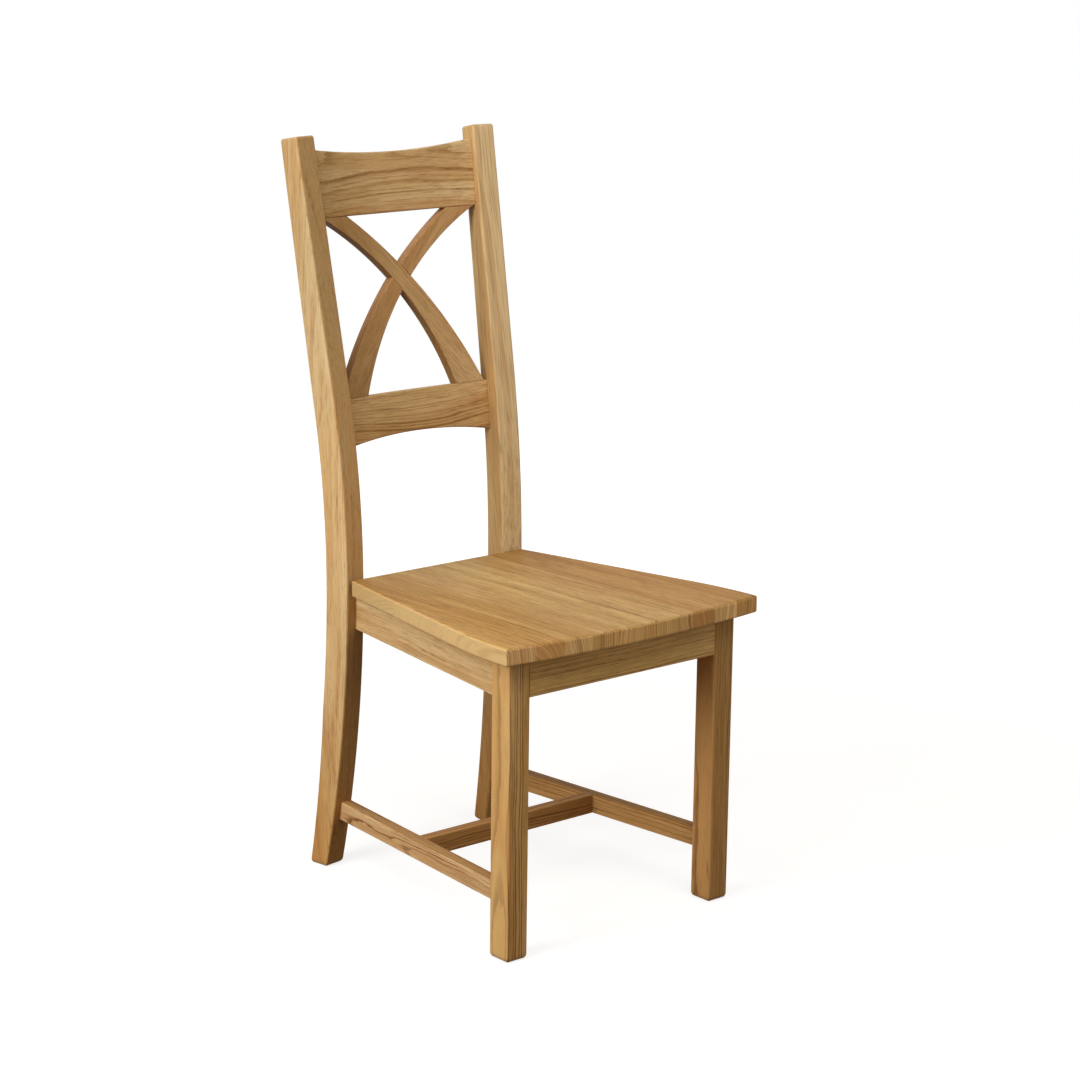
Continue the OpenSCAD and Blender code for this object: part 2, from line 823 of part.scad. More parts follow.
module front_block() {
    block(front_slant, leg_span / 2) {
        translate([leg_in_x - fit_gap, 0, 0]) cube([leg_w * 2, leg_d + fit_gap, seat_h]);
        at_slant(front_slant, front_corner) screw_hole(block_screw_l(front_slant, front_corner));
        under_seat(front_seat_screw) screw_hole(seat_screw_l);
    }
}

module rear_block() {
    block(rear_slant, post_span / 2) {
        on_post() translate([-post_w - fit_gap, -fit_gap, 0]) cube([post_w * 2, post_d, seat_h]);
        at_slant(rear_slant, rear_corner) screw_hole(block_screw_l(rear_slant, rear_corner));
        under_seat(rear_seat_screw) screw_hole(seat_screw_l);
    }
}

module corner_block_front_left() {
    color(beech) centred() mirror([1, 0, 0]) front_block();
}

module corner_block_front_right() {
    color(beech) centred() front_block();
}

module corner_block_rear_left() {
    color(beech) centred() mirror([1, 0, 0]) rear_block();
}

module corner_block_rear_right() {
    color(beech) centred() rear_block();
}

module block_screws() {
    color(steel) centred() both_sides() {
        at_slant(front_slant, front_corner) screw(block_screw_l(front_slant, front_corner));
        at_slant(rear_slant, rear_corner) screw(block_screw_l(rear_slant, rear_corner));
    }
}

module seat_screws() {
    color(steel) centred() both_sides() {
        under_seat(front_seat_screw) screw(seat_screw_l);
        under_seat(rear_seat_screw) screw(seat_screw_l);
    }
}

rear_post_left();
rear_post_right();
front_leg_left();
front_leg_right();
front_rail();
rear_rail();
side_rail_left();
side_rail_right();
side_stretcher_left();
side_stretcher_right();
cross_stretcher();
crest_rail();
lower_back_rail();
cross_brace_front();
cross_brace_back();
brace_dowels();
seat_stave_1();
seat_stave_2();
seat_stave_3();
seat_stave_4();
seat_stave_5();
seat_stave_6();
seat_stave_7();
seat_stave_8();
seat_stave_9();
seat_stave_10();
corner_block_front_left();
corner_block_front_right();
corner_block_rear_left();
corner_block_rear_right();
block_screws();
seat_screws();
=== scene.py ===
import math
import bmesh
import bpy
import numpy as np
from mathutils import Matrix, Vector


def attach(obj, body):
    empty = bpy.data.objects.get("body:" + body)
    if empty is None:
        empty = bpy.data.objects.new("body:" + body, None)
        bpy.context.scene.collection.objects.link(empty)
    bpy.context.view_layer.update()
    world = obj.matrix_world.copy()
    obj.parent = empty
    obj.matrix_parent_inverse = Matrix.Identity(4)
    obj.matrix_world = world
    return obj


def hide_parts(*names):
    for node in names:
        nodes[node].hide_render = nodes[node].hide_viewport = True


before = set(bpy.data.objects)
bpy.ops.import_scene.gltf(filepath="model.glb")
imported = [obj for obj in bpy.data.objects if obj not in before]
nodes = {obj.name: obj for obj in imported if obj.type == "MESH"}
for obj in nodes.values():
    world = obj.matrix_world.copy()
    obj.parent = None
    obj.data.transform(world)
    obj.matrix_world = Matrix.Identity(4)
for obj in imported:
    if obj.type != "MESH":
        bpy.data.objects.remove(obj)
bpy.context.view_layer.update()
mm = 0.001  # Blender's lengths are in metres, the ones below are in mm unless a note says otherwise
midY = 255.7006  # how far the frame's origin lies behind the front faces of the front legs
print("frame loaded:", len(nodes), "pieces")


# Right, up and backward directions of a camera that looks along azimuth and elevation, rolled about its own axis
def cameraAxes(azimuth, elevation, roll):
    a, e, r = map(math.radians, (azimuth, elevation, roll))
    back = Vector((math.sin(a) * math.cos(e), -math.cos(a) * math.cos(e), math.sin(e)))
    flatRight = Vector((math.cos(a), math.sin(a), 0))
    flatUp = back.cross(flatRight)
    right = flatRight * math.cos(r) + flatUp * math.sin(r)
    return right, flatUp * math.cos(r) - flatRight * math.sin(r), back


camera = dict(azimuth=-40.5437, elevation=13.5168, roll=0.7289,  # degrees
              focalPx=2902.918, framePx=1080, centrePx=(538.712, 537.112),  # pixels
              distance=4083.27, aim=(0, 200 - midY, 500), slide=(9.356, 25.494), sensor=36,
              farClip=200)  # metres


# The camera stands back from its aim by the distance, then slides right and up. The lens shift is the picture centre's
# offset as a share of the frame.
def makeCamera(c):
    right, up, back = cameraAxes(c["azimuth"], c["elevation"], c["roll"])
    place = Vector(c["aim"]) + back * c["distance"] + right * c["slide"][0] + up * c["slide"][1]
    lens = bpy.data.cameras.new("camera")
    lens.sensor_width = c["sensor"]
    lens.lens = c["focalPx"] / c["framePx"] * c["sensor"]
    lens.shift_x = (c["framePx"] / 2 - c["centrePx"][0]) / c["framePx"]
    lens.shift_y = (c["centrePx"][1] - c["framePx"] / 2) / c["framePx"]
    lens.clip_end = c["farClip"]
    eye = bpy.data.objects.new("camera", lens)
    turn = Matrix((right, up, back)).transposed().to_4x4()
    eye.matrix_world = Matrix.Translation(place * mm) @ turn
    bpy.context.scene.collection.objects.link(eye)
    bpy.context.scene.camera = eye


# Turns an sRGB hex colour into linear red, green, blue and alpha
def colour(text):
    parts = [int(text[i:i + 2], 16) / 255 for i in (1, 3, 5)]
    return [p / 12.92 if p <= 0.04045 else ((p + 0.055) / 1.055) ** 2.4 for p in parts] + [1]


# Adds one shader node, sets its properties and its sockets, links any socket given, and returns its outputs
def addNode(tree, kind, settings=None, sockets=None):
    node = tree.nodes.new("ShaderNode" + kind)
    for name, value in (settings or {}).items():
        setattr(node, name, value)
    for key, value in (sockets or {}).items():
        if isinstance(value, bpy.types.NodeSocket):
            tree.links.new(value, node.inputs[key])
        else:
            node.inputs[key].default_value = value
    return node.outputs


# Settings that many nodes share. A Mix node in colour mixes its sockets 6 and 7, and gives its output 2.
plus, minus, times, over = ({"operation": name} for name in ("ADD", "SUBTRACT", "MULTIPLY", "DIVIDE"))
timesPlus, larger, clamped = {"operation": "MULTIPLY_ADD"}, {"operation": "MAXIMUM"}, {"use_clamp": True}
smooth, inColour, inLine = {"interpolation_type": "SMOOTHSTEP"}, {"data_type": "RGBA"}, {"noise_dimensions": "1D"}


# A material with an empty tree of nodes, and that tree
def newMaterial(name):
    material = bpy.data.materials.new(name)
    material.use_nodes = True
    material.node_tree.nodes.clear()
    return material, material.node_tree


studio = dict(floorSize=6, liftFrom=0.7, liftTo=2.4,  # metres
              liftNear=0.80, liftFar=1.0, ambient=0.06,  # strengths, of which 1 is white
              floorColour="#9C9A96", bounceColour="#6E5C44", ambientColour="#FFDDB8", white="#FFFFFF")

# Each lamp: where it hangs, what it aims at and how wide it is, in metres, then its power and its colour
lamps = dict(
    left=dict(at=(-2.8, 0.1, 1.3), aim=(0, 0, 0.5), size=1.5, watts=60, colour="#FFFDFA"),
    highLeft=dict(at=(-1.7, -0.5, 2.2), aim=(0, 0, 0.5), size=1.4, watts=21, colour="#FFFDFA"),
    front=dict(at=(0.5, -3.1, 1.45), aim=(0, 0, 0.45), size=1.6, watts=20, colour="#FFFDFA"),
    overhead=dict(at=(-0.2, -0.2, 2.6), aim=(0, 0, 0.5), size=1.4, watts=8, colour="#FFFDFA"),
    overheadFront=dict(at=(-0.3, -1.5, 2.3), aim=(0, 0, 0.6), size=1.2, watts=16, colour="#FFFDFA"),
    right=dict(at=(3.0, 0.9, 1.7), aim=(0, 0, 0.5), size=1.8, watts=8, colour="#FFF6EA"),
    behind=dict(at=(0.4, 3.2, 1.9), aim=(0, 0, 0.5), size=1.8, watts=24, colour="#FFFDFA"),
)


# 1 for what the camera sees straight on, in gloss or through glass, 0 for the light that falls on things
def seenDirectly(tree):
    rays = addNode(tree, "LightPath")
    seen = addNode(tree, "Math", larger, {0: rays["Is Camera Ray"], 1: rays["Is Glossy Ray"]})[0]
    return addNode(tree, "Math", larger, {0: seen, 1: rays["Is Transmission Ray"]})[0]


# The floor is seen as white paint that keeps a shadow, but throws little light back. Its own glow rises with the
# distance from the middle, so that its edge melts into the white behind it.
def makeFloor(s):
    half = s["floorSize"] / 2
    mesh = bpy.data.meshes.new("floor")
    mesh.from_pydata([(-half, -half, 0), (half, -half, 0), (half, half, 0), (-half, half, 0)], [], [(0, 1, 2, 3)])
    floor = bpy.data.objects.new("floor", mesh)
    bpy.context.scene.collection.objects.link(floor)
    material, tree = newMaterial("paleMattFloor")
    paint = addNode(tree, "Mix", inColour,
                    {0: seenDirectly(tree), 6: colour(s["bounceColour"]), 7: colour(s["floorColour"])})[2]
    matt = addNode(tree, "BsdfDiffuse", None, {"Color": paint})
    place = addNode(tree, "TexCoord")
    away = addNode(tree, "VectorMath", {"operation": "LENGTH"}, {0: place["Object"]})["Value"]
    rise = addNode(tree, "MapRange", smooth, {"Value": away, "From Min": s["liftFrom"], "From Max": s["liftTo"],
                                              "To Min": s["liftNear"], "To Max": s["liftFar"]})[0]
    lift = addNode(tree, "Math", times, {0: seenDirectly(tree), 1: rise})[0]
    glow = addNode(tree, "Emission", None, {"Color": colour(s["white"]), "Strength": lift})
    both = addNode(tree, "AddShader", None, {0: matt[0], 1: glow[0]})
    addNode(tree, "OutputMaterial", None, {"Surface": both[0]})
    mesh.materials.append(material)


# The world looks white, and lights the chair with a faint warm tone
def makeWorld(s):
    world = bpy.data.worlds.new("studio")
    world.use_nodes = True
    tree = world.node_tree
    tree.nodes.clear()
    soft = addNode(tree, "Background", None, {"Color": colour(s["ambientColour"]), "Strength": s["ambient"]})
    white = addNode(tree, "Background", None, {"Color": colour(s["white"]), "Strength": 1.0})
    mixed = addNode(tree, "MixShader", None, {0: seenDirectly(tree), 1: soft[0], 2: white[0]})
    addNode(tree, "OutputWorld", None, {"Surface": mixed[0]})
    bpy.context.scene.world = world
    bpy.context.scene.view_settings.view_transform = "Standard"


# Hangs each round lamp and turns it towards its aim
def makeLamps(rows):
    for name, lamp in rows.items():
        light = bpy.data.lights.new(name, "AREA")
        light.shape = "DISK"
        light.size = lamp["size"]
        light.energy = lamp["watts"]
        light.color = colour(lamp["colour"])[:3]
        hung = bpy.data.objects.new(name, light)
        hung.location = lamp["at"]
        hung.rotation_euler = (Vector(lamp["aim"]) - Vector(lamp["at"])).to_track_quat("-Z", "Y").to_euler()
        bpy.context.scene.collection.objects.link(hung)


makeCamera(camera)
makeFloor(studio)
makeWorld(studio)
makeLamps(lamps)
print("camera, floor and lamps set")


# How a rounded arris is drawn: the steps of its arc, the plain strip beside it that keeps the flats flat, the least
# radius, the distance under which points are merged, and the angle in degrees over which an edge stays crisp
arris = dict(steps=6, strip=0.6, least=0.1, merge=0.001, crisp=32)


# Section of a bar: four corners, each eased by a quarter circle. Gives, for every column, which corner it belongs to
# (0 or 1 across and through) and its place from that corner.
def easedCorners(radius, inset):
    angle = np.linspace(0, math.pi / 2, arris["steps"] + 1)
    small = max(radius - inset, arris["least"])
    flat = inset + small + arris["strip"]
    one = np.stack([np.r_[inset, inset + small * (1 - np.cos(angle)), flat],
                    np.r_[flat, inset + small * (1 - np.sin(angle)), inset]])
    corners, places = [], []
    for across, through in ((0, 0), (1, 0), (1, 1), (0, 1)):
        sign = np.array([[1 - 2 * across], [1 - 2 * through]])
        run = one if across == through else one[:, ::-1]
        corners.append(np.repeat([[across], [through]], one.shape[1], 1))
        places.append(run * sign)
    return np.concatenate(corners, 1), np.concatenate(places, 1)


# Quarter circle that eases an end: how far each row is drawn in, and how far it stands back from the end
def easedEnd(radius, strip):
    turn = np.linspace(0, math.pi / 2, arris["steps"] + 1)
    return np.r_[radius * (1 - np.sin(turn)), 0], np.r_[radius * (1 - np.cos(turn)), radius + strip]


# Sweeps an eased section along a path. place(along, across, through) turns fractions and mm into points, width and
# depth give the section's sizes at each step, and reach is the path's length. Both ends are eased and closed.
def sweep(name, place, width, depth, reach, radius, steps, ends):
    (startIn, startBack), (endIn, endBack) = (easedEnd(end, arris["strip"]) for end in ends)
    body = np.linspace(0, 1, steps)
    body = body[(body > startBack[-1] / reach) & (body < 1 - endBack[-1] / reach)]
    along = np.r_[startBack / reach, body, 1 - endBack[::-1] / reach]
    inset = np.r_[startIn, body * 0, endIn[::-1]]
    rows = []
    for s, drawnIn in zip(along, inset):
        corner, offset = easedCorners(radius, drawnIn)
        rows.append(place(s, corner[0] * width(s) + offset[0], corner[1] * depth(s) + offset[1]))
    return newPiece(name, *closedRings(np.stack(rows)))


# Rows of points round a piece, in mm: walls between them and a flat cap on the first and the last
def closedRings(grid):
    index = np.arange(grid.shape[0] * grid.shape[1]).reshape(grid.shape[:2])
    ahead = np.roll(index, -1, 1)
    quads = np.stack([index[:-1], ahead[:-1], ahead[1:], index[1:]], -1).reshape(-1, 4)
    return grid.reshape(-1, 3) * mm, quads.tolist() + [index[0][::-1].tolist(), index[-1].tolist()]


# Makes an object of points in metres and faces
def newPiece(name, points, faces):
    mesh = bpy.data.meshes.new(name)
    mesh.from_pydata(points.tolist(), [], faces)
    piece = bpy.data.objects.new(name, mesh)
    bpy.context.scene.collection.objects.link(piece)
    tidyNormals(piece)
    return piece


# Merges doubled points, turns every face outwards, and shades all but the crisp arrises smooth
def tidyNormals(piece):
    shape = bmesh.new()
    shape.from_mesh(piece.data)
    bmesh.ops.remove_doubles(shape, verts=shape.verts, dist=arris["merge"] * mm)
    bmesh.ops.recalc_face_normals(shape, faces=shape.faces)
    shape.to_mesh(piece.data)
    shape.free()
    piece.data.shade_smooth()
    piece.data.set_sharp_from_angle(angle=math.radians(arris["crisp"]))


# A rear post: span and back place its outer front arris at the floor. It is turned in plan and raked at the top, in
# degrees. Below and above the height of its bend it follows arcs of two radii, and it tapers below footTaper and above
# topTaper. ends eases its foot and its top.
post = dict(height=1070, span=328, back=415, width=36, depth=43, topDepth=33.5, footDepth=33.5, turn=9, rake=11,
            bend=425, upperBend=1520, lowerBend=2050, topTaper=700, footTaper=240,
            easing=3.2, ends=(7.5, 3.5), steps=150)

rakeTan = math.tan(math.radians(post["rake"]))
arcTop = post["bend"] + post["upperBend"] * math.sin(math.radians(post["rake"]))
topTaper = (post["depth"] - post["topDepth"]) / (post["height"] - post["topTaper"])
footTaper = (post["depth"] - post["footDepth"]) / post["footTaper"]
rearTop = post["height"] - post["topDepth"] / (1 / rakeTan + rakeTan - topTaper)  # the top is cut square to the rake
turnSin, turnCos = math.sin(math.radians(post["turn"])), math.cos(math.radians(post["turn"]))


# Set-back of a post's front edge at a height: an arc either side of the bend, then a straight raked line
def frontSetBack(z):
    if z <= post["bend"]:
        return post["lowerBend"] - math.sqrt(post["lowerBend"] ** 2 - (post["bend"] - z) ** 2)
    if z <= arcTop:
        return post["upperBend"] - math.sqrt(post["upperBend"] ** 2 - (z - post["bend"]) ** 2)
    return post["upperBend"] * (1 - math.cos(math.radians(post["rake"]))) + (z - arcTop) * rakeTan


# Depth of a post at a height: full in the middle, tapered to both ends
def postDepth(z):
    return post["depth"] - topTaper * max(0, z - post["topTaper"]) - footTaper * max(0, post["footTaper"] - z)


# Point of a post: the section's line from front to rear edge, turned in plan about the front outer arris
def postPoint(side):
    def place(s, across, through):
        frontZ, rearZ = post["height"] * s, rearTop * s
        front = np.array([frontSetBack(frontZ), frontZ])
        rear = np.array([frontSetBack(rearZ) + postDepth(rearZ), rearZ])
        part = through / np.linalg.norm(rear - front)
        y, z = front[0] + part * (rear[0] - front[0]), front[1] + part * (rear[1] - front[1])
        return np.stack([side * (post["span"] / 2 - across * turnCos + y * turnSin),
                         post["back"] + across * turnSin + y * turnCos - midY, z], -1)
    return place


# Slanted depth of a post's section at a fraction of its height
def postSectionDepth(s):
    frontZ, rearZ = post["height"] * s, rearTop * s
    return math.hypot(frontSetBack(rearZ) + postDepth(rearZ) - frontSetBack(frontZ), rearZ - frontZ)


# Both posts: their section carried up the bent line, one the mirror of the other
def makePosts():
    for side, name, node in ((-1, "bentPostLeft", "rear_post_left"), (1, "bentPostRight", "rear_post_right")):
        piece = sweep(name, postPoint(side), lambda s: post["width"], postSectionDepth, post["height"],
                      post["easing"], post["steps"], post["ends"])
        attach(piece, "root")
        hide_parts(node)
    print("posts made")


# The seat slopes down to the rear, in degrees. Its front edge bows forwards and overhangs the legs. Its sides leave the
# front corners straight back and come in to backWidth at the rear from the shoulder, which an arc rounds off for the
# sweep's length on either side. clear is the gap to the posts, and strip is the plain edge beside the easing.
seat = dict(height=451, slope=0.75, width=458, backWidth=316, thickness=25, overhang=20, bow=17, clear=3, easing=3.5,
            strip=0.8, cornerEasing=1.5, shoulder=63, sweep=60, staves=10)
leg = dict(span=412, width=36.5, depth=39, easing=4, ends=(8, 0.3), steps=30)  # ends eases its foot and its top

# Points along each run of a side stave's outline
counts = dict(bow=14, corner=9, sweep=13, joint=12, taper=10, rear=8, inner=14)

slopeSin, slopeCos = math.sin(math.radians(seat["slope"])), math.cos(math.radians(seat["slope"]))
seatLength = (post["back"] - seat["clear"] + seat["overhang"]) / slopeCos
sideTurn = math.atan((seat["width"] - seat["backWidth"]) / 2 / (seatLength - seat["shoulder"]))
sweepRadius = seat["sweep"] / math.tan(sideTurn / 2)
bowRadius = (seat["width"] ** 2 / 4 + seat["bow"] ** 2) / (2 * seat["bow"])
staveWidth = seat["width"] / seat["staves"]


# Point of a front leg: straight up to the sloping underside of the seat
def legPoint(side):
    def place(s, across, through):
        under = seat["height"] - (through + seat["overhang"]) * slopeSin / slopeCos - seat["thickness"] / slopeCos
        return np.stack([side * (leg["span"] / 2 - across), through - midY + s * 0, s * under], -1)
    return place


# Both front legs: their section carried straight up, one the mirror of the other
def makeLegs():
    for side, name, node in ((-1, "frontLegLeft", "front_leg_left"), (1, "frontLegRight", "front_leg_right")):
        piece = sweep(name, legPoint(side), lambda s: leg["width"], lambda s: leg["depth"],
                      seat["height"] - seat["thickness"], leg["easing"], leg["steps"], leg["ends"])
        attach(piece, "root")
        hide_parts(node)
    print("legs made")


# The seat's front edge in plan, drawn in by inset: a wide circle that bows forwards
def bowEdge(x, inset):
    return np.stack([x, bowRadius - seat["bow"] - np.sqrt((bowRadius - inset) ** 2 - x ** 2)], -1)


# The seat's side in plan, drawn in by inset: an arc that leaves the front corner straight back and turns to the taper
def sweptSide(inset):
    angle = np.linspace(0, sideTurn, counts["sweep"])
    centre = np.array([seat["width"] / 2 - sweepRadius, seat["shoulder"] - seat["sweep"]])
    return centre + (sweepRadius - inset) * np.stack([np.cos(angle), np.sin(angle)], -1)


# Where the straight part of the side, which follows its arc, reaches an x
def taperAt(x, inset):
    start = sweptSide(inset)[-1]
    return np.array([x, start[1] + (start[0] - x) / math.tan(sideTurn)])


# Small arc round a corner: centre + radius * (cos, sin) between the directions that the two edges face
def cornerArc(centre, radius, first, last):
    angle = np.linspace(first, last, counts["corner"])
    return np.array(centre) + radius * np.stack([np.cos(angle), np.sin(angle)], -1)


# Outline of an end stave: along the bow, round the front corner, up the side to the joint and back down the joint
def endStave(inset):
    joint = seat["width"] / 2 - staveWidth
    small = max(seat["cornerEasing"] - inset, arris["least"])
    centre = bowEdge(np.array([seat["width"] / 2 - inset - small]), inset + small)[0]
    first = math.atan2(centre[1] - bowRadius + seat["bow"], centre[0])
    corner = cornerArc(centre, small, first, 0)
    bow = bowEdge(np.linspace(joint, corner[0, 0], counts["bow"])[:-1], inset)
    side = sweptSide(inset)
    edge = np.linspace(side[-1], taperAt(joint, inset), counts["joint"])[1:]
    return np.concatenate([bow, corner, side, edge, np.linspace(edge[-1], bow[0], counts["joint"])[1:-1]])


# Outline of the next stave in: along the bow, up its outer joint, along the tapering side, round the rear corner,
# along the rear edge and back down its inner joint
def nextStave(inset):
    outer = seat["width"] / 2 - staveWidth
    inner = outer - staveWidth
    small = max(seat["cornerEasing"] - inset, arris["least"])
    bow = bowEdge(np.linspace(inner, outer, counts["bow"]), inset)
    top = taperAt(outer, inset)
    up = np.linspace(bow[-1], top, counts["joint"])[1:]
    rear = seatLength - inset
    start = sweptSide(inset + small)[-1]
    centre = (start[0] - (rear - small - start[1]) * math.tan(sideTurn), rear - small)
    corner = cornerArc(centre, small, sideTurn, math.pi / 2)
    edge = np.linspace(top, corner[0], counts["taper"])[1:-1]
    end = np.linspace(corner[-1], (inner, rear), counts["rear"])[1:]
    return np.concatenate([bow, up, edge, corner, end, np.linspace(end[-1], bow[0], counts["inner"])[1:-1]])


# The two outer staves of either side: their outline carried down through the seat, drawn in by a quarter circle at the
# top and at the bottom, and tilted by the slope
def makeSideStaves():
    drawnIn, down = easedEnd(seat["easing"], seat["strip"])
    insets = np.r_[seat["easing"] + seat["strip"], drawnIn, drawnIn[::-1], seat["easing"] + seat["strip"]]
    depths = np.r_[0, down, seat["thickness"] - down[::-1], seat["thickness"]]
    for side, name, node, outline in ((-1, "seatStaveLeft", "seat_stave_1", endStave),
                                      (-1, "seatStaveNextLeft", "seat_stave_2", nextStave),
                                      (1, "seatStaveNextRight", "seat_stave_9", nextStave),
                                      (1, "seatStaveRight", "seat_stave_10", endStave)):
        rings = []
        for inset, depth in zip(insets, depths):
            x, y = outline(inset).T
            rings.append(np.stack([side * x, y * slopeCos - depth * slopeSin - seat["overhang"] - midY,
                                   seat["height"] - y * slopeSin - depth * slopeCos], -1))
        piece = newPiece(name, *closedRings(np.stack(rings)))
        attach(piece, "root")
        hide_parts(node)
    print("side staves made")


# The back is one surface, hollow in plan by its sag. The lower rail's top edge is level, with an arch under it, and
# the crest rail dips in the middle. The rails reach into the posts by bite, which takes a few rounds to find.
back = dict(lowerTop=697, lowerSetBack=21.5, crestSetBack=9.5, sag=8.5, railDepth=18, lowerHeight=60.5, lowerArch=12.5,
            crestHeight=88, crestDip=9.5, crestDrop=21, bite=0.2, rounds=6, easing=2.2, ends=(0.3, 0.3), steps=90)

# A brace runs from one side's foot to the other side's top, between a hollow and a swelling edge of these radii. Each
# is halved where it meets the other, with air between them, by a cutter that stands proud.
braces = dict(depth=16.5, footIn=81, footOut=130, topIn=90, topOut=139, hollow=460, swell=680, air=0.15, proud=4,
              easing=1.8, cutterEasing=0.02, ends=(0.02, 0.02), steps=90)


# Place of a post's inner face at a set-back behind its front arris
def innerFace(setBack):
    return (post["span"] / 2 + setBack * turnSin - post["width"] * turnCos,
            post["back"] + setBack * turnCos + post["width"] * turnSin)


# Radius of a circle segment from half its chord and its rise
def segmentRadius(halfChord, rise):
    return (halfChord ** 2 + rise ** 2) / (2 * rise)


crestTopEdge = post["height"] - back["crestDrop"]
crestMid = crestTopEdge - back["crestHeight"] / 2
lowerHalf, panelY = innerFace(frontSetBack(back["lowerTop"]) + back["lowerSetBack"])
crestHalf, crestY = innerFace(frontSetBack(crestMid) + back["crestSetBack"])
lean = math.atan((crestY - panelY) / (crestMid - back["lowerTop"]))
crestBase = (crestTopEdge - back["lowerTop"]) / math.cos(lean) - back["crestHeight"] - back["crestDip"]
hollowRadius = segmentRadius(crestHalf, back["sag"])
dipRadius = segmentRadius(crestHalf, back["crestDip"])
archRadius = segmentRadius(lowerHalf, back["lowerArch"])


# Point of the back: x, height up the lean, and depth behind a front that is hollow in plan, then leaned back
def backPoint(x, up, through):
    y = np.sqrt(hollowRadius ** 2 - x ** 2) - hollowRadius + back["sag"] + through
    return np.stack([x + up * 0, panelY + y * math.cos(lean) + up * math.sin(lean) - midY,
                     back["lowerTop"] + up * math.cos(lean) - y * math.sin(lean)], -1)


# Point of a back rail: x is a share of the way to the post's inner face at that depth
def railPoint(lowEdge):
    def place(s, across, through):
        x = (2 * s - 1) * crestHalf + across * 0
        for again in range(back["rounds"]):
            y = backPoint(x, lowEdge(x) + across, through)[..., 1] + midY
            end = post["span"] / 2 + ((y - post["back"]) * turnSin - post["width"]) / turnCos
            x = (2 * s - 1) * (end + back["bite"])
        return backPoint(x, lowEdge(x) + across, through)
    return place


# The crest's dipped top, as a height over x: a circle segment that is lowest in the middle
def crestTop(x):
    return crestBase + back["crestHeight"] + dipRadius - np.sqrt(dipRadius ** 2 - x ** 2)


# The lower rail's arched underside, as a height over x: a circle segment that is highest in the middle
def lowerUnderside(x):
    return -back["lowerHeight"] - archRadius + np.sqrt(archRadius ** 2 - x ** 2)


# Both back rails: their section carried from post to post on the hollow surface, as high as its edges stand apart
def makeBackRails():
    crest = sweep("dippedCrestRail", railPoint(lambda x: crestBase + x * 0),
                  lambda s: float(crestTop((2 * s - 1) * crestHalf)) - crestBase, lambda s: back["railDepth"],
                  2 * crestHalf, back["easing"], back["steps"], back["ends"])
    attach(crest, "root")
    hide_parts("crest_rail")
    lower = sweep("archedLowerRail", railPoint(lowerUnderside),
                  lambda s: -float(lowerUnderside((2 * s - 1) * lowerHalf)), lambda s: back["railDepth"],
                  2 * lowerHalf, back["easing"], back["steps"], back["ends"])
    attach(lower, "root")
    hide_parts("lower_back_rail")
    print("back rails made")


# Circle of a radius through two points, bulging to the right of them: its x at a height
def arcEdge(foot, top, radius):
    foot, top = np.array(foot, float), np.array(top, float)
    step = top - foot
    length = np.linalg.norm(step)
    centre = (foot + top) / 2 + np.array([-step[1], step[0]]) / length * math.sqrt(radius ** 2 - length ** 2 / 4)
    return lambda up: centre[0] + np.sqrt(radius ** 2 - (up - centre[1]) ** 2)


swellEdge = arcEdge((braces["footOut"], 0), (-braces["topIn"], crestBase), braces["swell"])
hollowEdge = arcEdge((braces["footIn"], 0), (-braces["topOut"], crestBase), braces["hollow"])


# A brace between its hollow and its swelling edge, from depth near to depth far, widened by grow on both edges
def makeBrace(name, side, near, far, grow, easing):
    def place(s, across, through):
        up = s * crestBase + across * 0
        return backPoint(side * (hollowEdge(up) - grow + across), up, near + through)
    return sweep(name, place, lambda s: float(swellEdge(s * crestBase) - hollowEdge(s * crestBase)) + 2 * grow,
                 lambda s: far - near, crestBase, easing, braces["steps"], braces["ends"])


# Cuts one piece out of another for good, and takes the cutter away
def cutOut(piece, cutter):
    cut = piece.modifiers.new("halving", "BOOLEAN")
    cut.operation, cut.solver, cut.object = "DIFFERENCE", "EXACT", cutter
    graph = bpy.context.evaluated_depsgraph_get()
    mesh = bpy.data.meshes.new_from_object(piece.evaluated_get(graph))
    piece.modifiers.clear()
    piece.data = mesh
    bpy.data.objects.remove(cutter)
    tidyNormals(piece)


# Both braces, halved: from each one half the depth of the other, a little wider, is cut away
def makeBraces():
    half, air, proud = braces["depth"] / 2, braces["air"], braces["proud"]
    for side, name, node in ((1, "crossBraceFront", "cross_brace_front"), (-1, "crossBraceBack", "cross_brace_back")):
        brace = makeBrace(name, side, 0, braces["depth"], 0, braces["easing"])
        near, far = (half - air / 2, braces["depth"] + proud) if side == 1 else (-proud, half + air / 2)
        cutOut(brace, makeBrace("halvingCutter", -side, near, far, air, braces["cutterEasing"]))
        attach(brace, "root")
        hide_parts(node)
    print("braces made and halved")


makePosts()
makeLegs()
makeSideStaves()
makeBackRails()
makeBraces()


# Euler turn that lays a board's own x along its grain and its own z as near as it can to its face direction
def boardTurn(grain, face):
    x = Vector(grain).normalized()
    z = (Vector(face) - x * x.dot(Vector(face))).normalized()
    return Matrix((x, z.cross(x), z)).transposed().to_euler()


# Noise drawn out along the grain: space is divided by the pattern's size along and across the grain, then shifted by
# uneven shares of shift, which keeps patterns apart
def grainNoise(tree, space, size, detail, roughness=0.5, shift=0.0):
    along, across = size
    spot = addNode(tree, "Mapping", None, {"Vector": space, "Location": (shift, shift * 0.7, shift * 0.3),
                                           "Scale": (1 / along, 1 / across, 1 / across)})
    return addNode(tree, "TexNoise", None,
                   {"Vector": spot[0], "Scale": 1.0, "Detail": detail, "Roughness": roughness})


